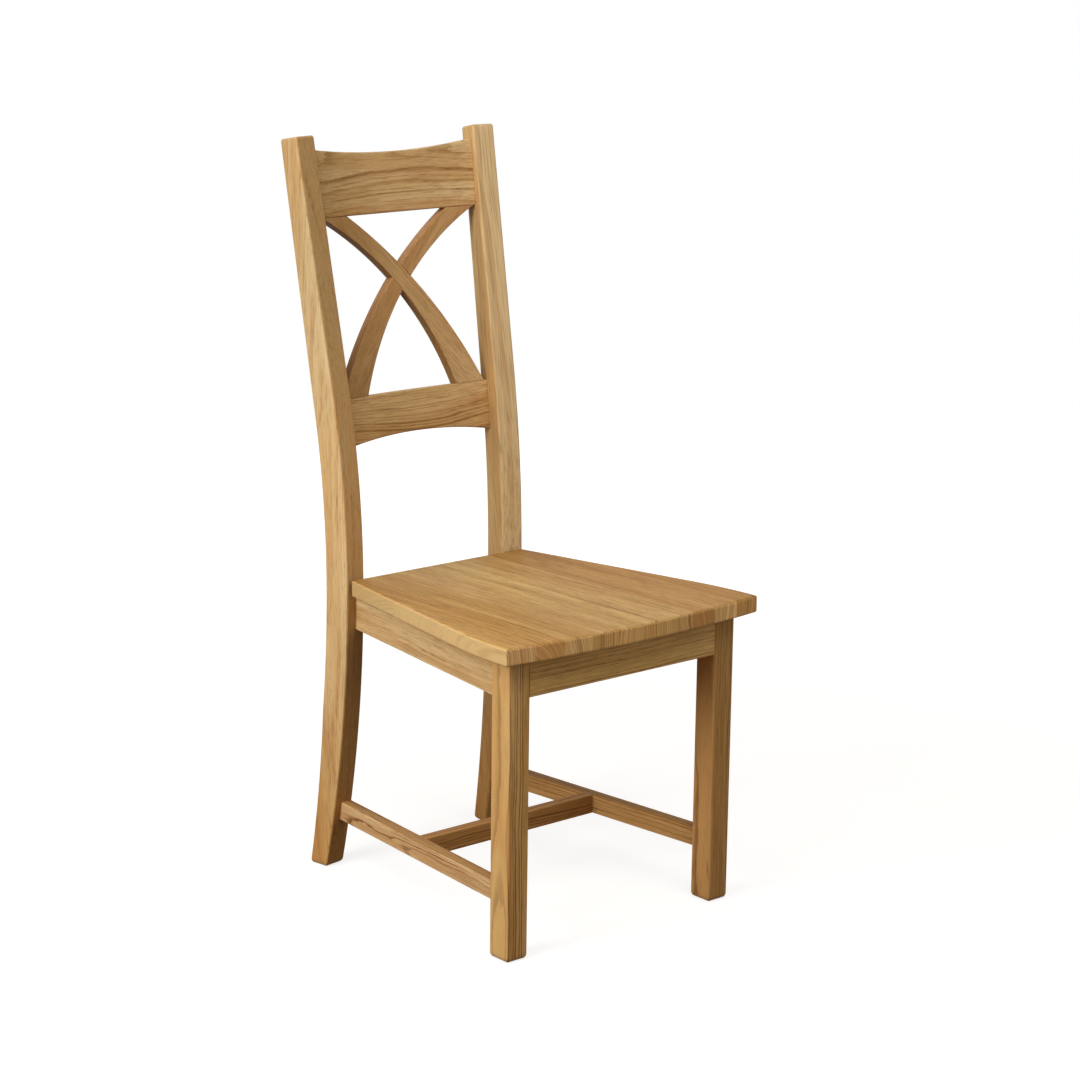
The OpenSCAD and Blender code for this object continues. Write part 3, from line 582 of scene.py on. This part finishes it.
# How squarely a face looks along a direction, either way round: the size of its normal's share of it, as a mask
def facing(tree, normal, direction, levels):
    share = addNode(tree, "VectorMath", {"operation": "DOT_PRODUCT"}, {0: normal, 1: direction})["Value"]
    share = addNode(tree, "Math", {"operation": "ABSOLUTE"}, {0: share})[0]
    return addNode(tree, "MapRange", smooth, {"Value": share, **levels})[0]


# European oak, planed, sanded and oiled to a satin. Rings are circles round a pith beside the board, so faces show
# straight or arched figure and the ends show arcs. Each year opens with a thin dark porous line, some years far darker
# than others, and years lie in broad paler and redder bands. Real years are 2 to 4 mm wide and real pores up to 0.3 mm.
# Both are drawn coarser so that they show: years of 3.4 to 6 mm, and pores about five times as wide.
oak = dict(pale="#CFAF7D", mid="#C09B67", flame="#B07D47", deep="#74491F", pore="#64421F", endPale="#D5AA6C",
           endDeep="#976B3D", roughness=0.55, poreRoughness=0.12, gloss=0.09, bump=0.2, relief=0.12, fibreRelief=0.25,
           # Width of a year, how far the rings wander and shiver, how alike the years are, and their slant to the board
           ring=6.0, wander=24.0, shake=0.7, steady=0.25, runOut=0.0, uneven=2.6, unevenScale=0.45, bandYears=3.2,
           # How strongly each pattern shows, how far the pores keep to the rings, and how far all fade on the side
           flameDepth=0.45, ringDepth=0.75, fibreDepth=0.30, poreDepth=0.46, poreRings=0.6, sideFade=0.0,
           # End grain: streaks per year, and how strongly streaks and rings show
           streakScale=2.2, endStreaks=0.75, endRings=0.3,
           # Multiples of the seed that keep a board's bands and streaks apart
           bandShift=1.7, streakShift=2.3,
           # Sizes of the patterns along and across the grain
           driftSize=(300, 93.75), shiverSize=(60, 12), poreSize=(22, 1.7), fibreSize=(80, 2.2), toneSize=(420, 30),
           patchSize=(170, 17), flameSize=(260, 24),
           # Levels of a pattern between which its mask goes from 0 to 1
           levels=dict(opens=(0.0, 0.08), closes=(0.50, 0.14), patch=(0.32, 0.62), bands=(0.46, 0.66),
                       flames=(0.36, 0.62), pores=(0.53, 0.62), fibre=(0.46, 0.66), tone=(0.34, 0.66),
                       streaks=(0.32, 0.70), side=(0.6, 0.85), end=(0.75, 0.92)))


# A board's oak. Its years are the distance from the pith over a year's width. The colour is a slow mix of two tones,
# with flames, fibres, early wood and pores laid over it one after another by their masks.
def oakFinish(name, at, grain, face, look):
    o = {**oak, **look}
    seed = o["seed"]
    span = {key: {"From Min": low, "From Max": high} for key, (low, high) in o["levels"].items()}
    alongGrain = Vector(grain).normalized()
    acrossGrain = Vector(face).cross(alongGrain).normalized()
    material, tree = newMaterial(name)
    place = addNode(tree, "TexCoord")
    board = addNode(tree, "Mapping", {"vector_type": "TEXTURE"},
                    {"Vector": place["Object"], "Location": [v * mm for v in at],
                     "Rotation": boardTurn(grain, face), "Scale": (mm, mm, mm)})[0]  # now in mm along the board
    drift = grainNoise(tree, board, o["driftSize"], detail=2.0, roughness=0.45, shift=seed)["Color"]
    shiver = grainNoise(tree, board, o["shiverSize"], detail=3.0, roughness=0.55, shift=seed + 5)["Color"]
    pores = grainNoise(tree, board, o["poreSize"], detail=2.0, roughness=0.6, shift=seed + 7)["Fac"]
    fibre = grainNoise(tree, board, o["fibreSize"], detail=3.0, roughness=0.6, shift=seed + 11)["Fac"]
    tone = grainNoise(tree, board, o["toneSize"], detail=2.0, shift=seed + 17)["Fac"]
    patch = grainNoise(tree, board, o["patchSize"], detail=2.0, shift=seed + 21)["Fac"]
    flames = grainNoise(tree, board, o["flameSize"], detail=2.0, shift=seed + 27)["Fac"]

    moved = board
    for push, reach in ((drift, o["wander"]), (shiver, o["ring"] * o["shake"])):
        push = addNode(tree, "VectorMath", minus, {0: push, 1: (0.5, 0.5, 0.5)})[0]
        push = addNode(tree, "VectorMath", {"operation": "SCALE"}, {0: push, "Scale": reach})[0]
        moved = addNode(tree, "VectorMath", plus, {0: moved, 1: push})[0]
    centred = addNode(tree, "VectorMath", minus, {0: moved, 1: (0, *o["pith"])})[0]
    flat = addNode(tree, "VectorMath", times, {0: centred, 1: (o["runOut"], 1, 1)})[0]
    radius = addNode(tree, "VectorMath", {"operation": "LENGTH"}, {0: flat})["Value"]
    turns = addNode(tree, "Math", over, {0: radius, 1: o["ring"]})[0]
    spot = addNode(tree, "Math", plus, {0: turns, 1: seed})[0]
    spaced = addNode(tree, "TexNoise", inLine, {"W": spot, "Scale": o["unevenScale"], "Detail": 0.0})["Fac"]
    turns = addNode(tree, "Math", timesPlus, {0: spaced, 1: o["uneven"], 2: turns})[0]  # years of uneven width
    ring = addNode(tree, "Math", {"operation": "FRACT"}, {0: turns})[0]
    whole = addNode(tree, "Math", {"operation": "FLOOR"}, {0: turns})[0]
    year = addNode(tree, "TexWhiteNoise", inLine, {"W": whole})["Value"]
    spot = addNode(tree, "Math", over, {0: turns, 1: o["bandYears"]})[0]
    spot = addNode(tree, "Math", plus, {0: spot, 1: seed * o["bandShift"]})[0]
    bands = addNode(tree, "TexNoise", inLine, {"W": spot, "Scale": 1.0, "Detail": 2.0})["Fac"]
    spot = addNode(tree, "Math", plus, {0: turns, 1: seed * o["streakShift"]})[0]
    streaks = addNode(tree, "TexNoise", inLine, {"W": spot, "Scale": o["streakScale"], "Detail": 2.0})["Fac"]

    mask = {}
    for key, value in dict(opens=ring, closes=ring, bands=bands, flames=flames, pores=pores, tone=tone,
                           streaks=streaks).items():
        mask[key] = addNode(tree, "MapRange", smooth, {"Value": value, **span[key]})[0]
    strength = addNode(tree, "Math", timesPlus, {0: year, 1: 1 - o["steady"], 2: o["steady"]})[0]
    faded = addNode(tree, "MapRange", smooth, {"Value": patch, **span["patch"], "To Min": o["steady"]})[0]
    early = mask["opens"]  # early wood, whose lines fade in and out along the board
    for share in (mask["closes"], strength, faded):
        early = addNode(tree, "Math", times, {0: early, 1: share})[0]
    flame = addNode(tree, "Math", times, {0: mask["bands"], 1: mask["flames"]})[0]
    share = addNode(tree, "Math", timesPlus, {0: early, 1: o["poreRings"], 2: 1 - o["poreRings"]})[0]
    pore = addNode(tree, "Math", {**times, **clamped}, {0: mask["pores"], 1: share})[0]

    base = addNode(tree, "Mix", inColour, {0: mask["tone"], 6: colour(o["mid"]), 7: colour(o["pale"])})[2]
    if "side" in o:  # another colour on the narrow faces, where the figure may fade; on some boards it is painted shade, on one painted light
        sideToneAndShade, strength = o["side"]
        sideways = facing(tree, place["Normal"], acrossGrain, span["side"])
        sideways = addNode(tree, "Math", times, {0: sideways, 1: strength})[0]
        base = addNode(tree, "Mix", inColour, {0: sideways, 6: base, 7: colour(sideToneAndShade)})[2]
        calm = addNode(tree, "Math", timesPlus, {0: sideways, 1: -o["sideFade"], 2: 1.0})[0]
        early, flame, fibre, pore = (addNode(tree, "Math", times, {0: part, 1: calm})[0]
                                     for part in (early, flame, fibre, pore))
    fibrous = addNode(tree, "MapRange", smooth, {"Value": fibre, **span["fibre"]})[0]
    for share, depth, tone in ((flame, "flameDepth", "flame"), (fibrous, "fibreDepth", "deep"),
                               (early, "ringDepth", "deep"), (pore, "poreDepth", "pore")):
        share = addNode(tree, "Math", times, {0: share, 1: o[depth]})[0]
        base = addNode(tree, "Mix", inColour, {0: share, 6: base, 7: colour(o[tone])})[2]
    lines = addNode(tree, "Math", times, {0: early, 1: o["endRings"]})[0]
    lines = addNode(tree, "Math", {**timesPlus, **clamped}, {0: mask["streaks"], 1: o["endStreaks"], 2: lines})[0]
    sawn = addNode(tree, "Mix", inColour, {0: lines, 6: colour(o["endPale"]), 7: colour(o["endDeep"])})[2]
    endOn = facing(tree, place["Normal"], alongGrain, span["end"])
    base = addNode(tree, "Mix", inColour, {0: endOn, 6: base, 7: sawn})[2]
    if "ends" in o:  # a tint from the middle of the board to either end, half its length away, that darkens or reddens it; on the crest, the braces and the seat staves it paints shade
        run = addNode(tree, "SeparateXYZ", None, {0: board})[0]
        for reach, tone in zip((-o["half"], o["half"]), o["ends"]):
            share = addNode(tree, "MapRange", smooth, {"Value": run, "From Min": 0.0, "From Max": reach})[0]
            base = addNode(tree, "Mix", {**inColour, "blend_type": "MULTIPLY"}, {0: share, 6: base, 7: colour(tone)})[2]

    rough = addNode(tree, "Math", timesPlus, {0: pore, 1: o["poreRoughness"], 2: o["roughness"]})[0]
    raised = addNode(tree, "Math", times, {0: fibre, 1: o["fibreRelief"]})[0]
    height = addNode(tree, "Math", minus, {0: raised, 1: pore})[0]
    bump = addNode(tree, "Bump", None, {"Height": height, "Strength": o["bump"], "Distance": o["relief"] * mm})
    shader = addNode(tree, "BsdfPrincipled", None, {"Base Color": base, "Roughness": rough, "Normal": bump[0],
                                                    "IOR": 1.5, "Specular IOR Level": o["gloss"]})
    addNode(tree, "OutputMaterial", None, {"Surface": shader[0]})
    return material


# Gives a piece its one material
def dress(piece, material):
    piece.data.materials.clear()
    piece.data.materials.append(material)


# What each oak piece's board was: a point on its centre line, its grain and face directions, and its look. pith is
# where its pith lay from that point, across the face and out of it. side is the colour of its narrow faces and how
# strongly it shows, and ends are the tints that it reaches at either end, half its length away. Where a side or ends
# colour is painted shade or painted light, a note at the board says so.
alongX, alongY, alongZ = (1, 0, 0), (0, 1, 0), (0, 0, 1)
faceFront, faceUp, faceLeft = (0, -1, 0), (0, 0, 1), (-1, 0, 0)
boards = {
    "bentPostLeft": dict(
        at=(-150, 190, 500), grain=(0, 0.03, 1), face=faceLeft,
        look=dict(pith=(6, 40), seed=2.0, pale="#D6BD90", mid="#CCAC7B", flame="#C4935C", flameDepth=0.55,
                  # side is painted shade: a darker, warmer colour on the front and rear faces
                  deep="#A9753F", ringDepth=0.5, steady=0.15, runOut=0.07, side=("#B9945F", 0.8),
                  half=480, ends=("#EEDABC", "#E8E8E7"))),
    "bentPostRight": dict(
        at=(150, 190, 500), grain=(0, 0.19, 1), face=faceLeft,
        look=dict(pith=(-60, 64), seed=9.0, pale="#CFAF7B", mid="#C49D67", ringDepth=0.2, poreDepth=0.2,
                  poreSize=(60, 1.7), fibreDepth=0.36, side=("#D2B78A", 0.85),
                  half=480, ends=("#F6D9B1", "#FFFFFF"))),
    "dippedCrestRail": dict(
        at=(0, 250, 990), grain=alongX, face=faceFront,
        look=dict(pith=(74, 50), seed=4.0, pale="#D0B282", mid="#C19C69", deep="#84521F", ringDepth=0.7, steady=0.4,
                  # ends darken the left end: partly the board's own tone, partly painted shade where the left post
                  # shades it
                  half=125, ends=("#E6E2DA", "#FFFFFF"))),
    "archedLowerRail": dict(
        at=(0, 210, 665), grain=alongX, face=faceFront,
        look=dict(pith=(-62, 40), seed=6.0, pale="#CCA975", mid="#BC945E", ring=4.8, ringDepth=0.75, steady=0.5)),
    "crossBraceFront": dict(
        at=(0, 235, 825), grain=(-0.82, 0.1, 1), face=faceFront,
        look=dict(pith=(86, 60), seed=8.0, pale="#C6A474", mid="#BB9564", ringDepth=0.3, shake=0.3,
                  # side is painted shade on the narrow faces, and ends paint shade towards the top, by the crest and
                  # the left post
                  side=("#8A663A", 0.75), half=170, ends=("#FFFFFF", "#DDD4C8"))),
    "crossBraceBack": dict(
        at=(0, 235, 825), grain=(0.82, 0.1, 1), face=faceFront,
        look=dict(pith=(-86, 54), seed=12.0, pale="#BF9767", mid="#B18756", ringDepth=0.3, shake=0.3,
                  # side is painted shade on the narrow faces, and ends paint shade towards the foot, by the left post
                  side=("#AC7B4A", 0.8), half=170, ends=("#DFDCD0", "#FFFFFF"))),
    "frontLegLeft": dict(
        at=(-188, -236, 200), grain=alongZ, face=faceFront,
        look=dict(pith=(56, 6), seed=14.0, pale="#D3AC72", mid="#C5985B", flame="#AE7038", flameDepth=0.75,
                  deep="#5F3C17", ring=5.6, ringDepth=0.95, steady=0.75, shake=0.45, fibreDepth=0.3,
                  side=("#D0AA6E", 0.6), sideFade=0.9, runOut=0.03, bandYears=1.6)),
    "frontLegRight": dict(
        at=(188, -236, 200), grain=alongZ, face=faceFront,
        look=dict(pith=(-50, 10), seed=15.0, pale="#BD965F", mid="#B0864E", deep="#6B431B", ring=5.6,
                  # side is painted light: a paler colour on the left and right faces, where the seat shades the inner
                  # face
                  ringDepth=0.85, steady=0.4, side=("#D7A164", 0.8), sideFade=0.3)),
    "front_rail": dict(
        at=(0, -243, 395), grain=alongX, face=faceFront,
        look=dict(pith=(120, 20), seed=16.0, pale="#DFB877", mid="#D2A864", ring=3.4, ringDepth=0.6, steady=0.5)),
    "rear_rail": dict(
        at=(0, 175, 395), grain=alongX, face=faceFront,
        look=dict(pith=(70, 50), seed=18.0, pale="#C9A667", mid="#BC9656")),
    "side_rail_left": dict(
        at=(-175, -40, 395), grain=(0.15, 1, 0), face=faceLeft,
        look=dict(pith=(110, 26), seed=20.0, pale="#D6B887", mid="#CAA671", ring=3.6, ringDepth=0.45)),
    "side_rail_right": dict(
        at=(175, -40, 395), grain=(-0.15, 1, 0), face=faceLeft,
        look=dict(pith=(90, 30), seed=22.0, pale="#C9A46D", mid="#BC9259")),
    "side_stretcher_left": dict(
        at=(-175, -40, 89), grain=(0.09, 1, 0), face=faceLeft,
        look=dict(pith=(8, 26), seed=24.0, pale="#D9B586", mid="#C9A372", ringDepth=0.95, runOut=0.05,
                  side=("#B08347", 0.85))),
    "side_stretcher_right": dict(
        at=(175, -40, 89), grain=(-0.09, 1, 0), face=faceLeft,
        look=dict(pith=(44, 40), seed=26.0, pale="#C5985E", mid="#B6864C", ring=4.5, ringDepth=0.9, steady=0.5,
                  side=("#9D753A", 0.85))),
    "cross_stretcher": dict(
        at=(0, -8, 89), grain=alongX, face=faceFront,
        look=dict(pith=(36, 36), seed=28.0, pale="#BC8A50", mid="#AA753C", ring=5.0, ringDepth=0.95, steady=0.8)),
}

# Each seat stave from left to right: its two tones, its end grain, where its pith lay, how dark its rings are and how
# far they run out of the board
staves = [
    ("#C79E5D", "#B88C50", "#DFB478", (84, -16), 0.95, 0.0),
    ("#C29957", "#B28445", "#D09F60", (36, -28), 0.95, 0.12),
    ("#C19B5D", "#B28A4C", "#E3B97C", (96, -18), 0.95, 0.0),
    ("#C4A068", "#B79158", "#D2A667", (108, 6), 0.6, 0.0),
    ("#C6A469", "#B9955B", "#DFB374", (-96, -14), 0.6, 0.0),
    ("#CEAD72", "#C09C61", "#D6A968", (105, -12), 0.6, 0.0),
    ("#CAA66B", "#BA955A", "#DAAE6F", (-110, 8), 0.6, 0.0),
    ("#BD9458", "#AE8349", "#C08D54", (115, -10), 0.6, 0.0),
    ("#BB9054", "#AB7E45", "#E6BC7E", (-104, -14), 0.6, 0.0),
    ("#B2874C", "#A2773D", "#D1A261", (110, 10), 0.6, 0.0),
]

# What all staves share, the seeds of the first and each next one, and the pieces that replace the outer ones
staveLook = dict(ring=4.5, wander=16.0, shake=0.25, flameDepth=0.3, fibreDepth=0.38, poreDepth=0.6,
                 # ends paint shade: each stave darkens towards the rear of the seat
                 side=("#CDAE7A", 0.9), sideFade=0.85, half=215, ends=("#FFFFFF", "#EFECE5"))
staveSeed, seedStep, staveY, staveZ = 30.0, 3, -60, 440
shapedStaves = {0: "seatStaveLeft", 1: "seatStaveNextLeft", 8: "seatStaveNextRight", 9: "seatStaveRight"}


# Adds the staves to the boards, then gives every oak piece the finish of its own board
def dressOak():
    for i, (pale, mid, end, pith, ringDepth, runOut) in enumerate(staves):
        name = shapedStaves.get(i, "seat_stave_%d" % (i + 1))
        boards[name] = dict(
            at=((i - (seat["staves"] - 1) / 2) * staveWidth, staveY, staveZ), grain=alongY, face=faceUp,
            look=dict(staveLook, pale=pale, mid=mid, endPale=end, pith=pith, seed=staveSeed + seedStep * i,
                      ringDepth=ringDepth, runOut=runOut))
    for name, board in boards.items():
        piece = bpy.data.objects[name]
        dress(piece, oakFinish("satinOiledOak_" + name, board["at"], board["grain"], board["face"], board["look"]))
    print("oak dressed:", len(boards), "boards")


# Beech, planed and left bare: an even pale pink-tan with short fine flecks along the grain
beech = dict(pale="#DCBE97", deep="#C6A178", fleck="#A9815A", roughness=0.62, face=(0.2, 0.3, 1),
             toneSize=(120, 9), fleckSize=(3.0, 0.5), fleckLevels=(0.58, 0.7), fleckDepth=0.5, bump=0.2, relief=0.1)


# A slow mix of two tones along the grain, with the flecks laid over it
def beechFinish(name, grain):
    material, tree = newMaterial(name)
    place = addNode(tree, "TexCoord")
    board = addNode(tree, "Mapping", {"vector_type": "TEXTURE"},
                    {"Vector": place["Object"], "Rotation": boardTurn(grain, beech["face"]), "Scale": (mm, mm, mm)})[0]
    tone = grainNoise(tree, board, beech["toneSize"], detail=3.0)["Fac"]
    fleck = grainNoise(tree, board, beech["fleckSize"], detail=1.0)["Fac"]
    low, high = beech["fleckLevels"]
    mask = addNode(tree, "MapRange", smooth,
                   {"Value": fleck, "From Min": low, "From Max": high, "To Max": beech["fleckDepth"]})[0]
    base = addNode(tree, "Mix", inColour, {0: tone, 6: colour(beech["pale"]), 7: colour(beech["deep"])})[2]
    base = addNode(tree, "Mix", inColour, {0: mask, 6: base, 7: colour(beech["fleck"])})[2]
    bump = addNode(tree, "Bump", None,
                   {"Height": fleck, "Strength": beech["bump"], "Distance": beech["relief"] * mm})
    shader = addNode(tree, "BsdfPrincipled", None,
                     {"Base Color": base, "Roughness": beech["roughness"], "Normal": bump[0], "IOR": 1.5})
    addNode(tree, "OutputMaterial", None, {"Surface": shader[0]})
    return material


# Zinc plated steel: bright bluish grey with a faint cloudy passivation, duller where it is cloudy
zinc = dict(bright="#C9CCD0", cloudy="#A9ADB0", cloudSize=2.5, roughness=(0.28, 0.44))


# The cloud's noise mixes the two greys and sets the roughness between its two ends
def zincFinish(name):
    material, tree = newMaterial(name)
    place = addNode(tree, "TexCoord")
    cloud = grainNoise(tree, place["Object"], (zinc["cloudSize"] * mm, zinc["cloudSize"] * mm), detail=4.0)["Fac"]
    base = addNode(tree, "Mix", inColour, {0: cloud, 6: colour(zinc["bright"]), 7: colour(zinc["cloudy"])})[2]
    low, high = zinc["roughness"]
    rough = addNode(tree, "MapRange", None, {"Value": cloud, "To Min": low, "To Max": high})[0]
    shader = addNode(tree, "BsdfPrincipled", None, {"Base Color": base, "Metallic": 1.0, "Roughness": rough})
    addNode(tree, "OutputMaterial", None, {"Surface": shader[0]})
    return material


# The pieces under the seat and inside the joints keep their shapes and get their finishes
def dressHidden():
    block = beechFinish("bareBeechBlock", (1, 0.5, 0))
    for name in ("corner_block_front_left", "corner_block_front_right",
                 "corner_block_rear_left", "corner_block_rear_right"):
        dress(nodes[name], block)
    dress(nodes["brace_dowels"], beechFinish("bareBeechDowel", alongZ))
    for name in ("block_screws", "seat_screws"):
        dress(nodes[name], zincFinish("zincPlatedScrews_" + name))
    print("blocks, dowels and screws dressed")


dressOak()
dressHidden()
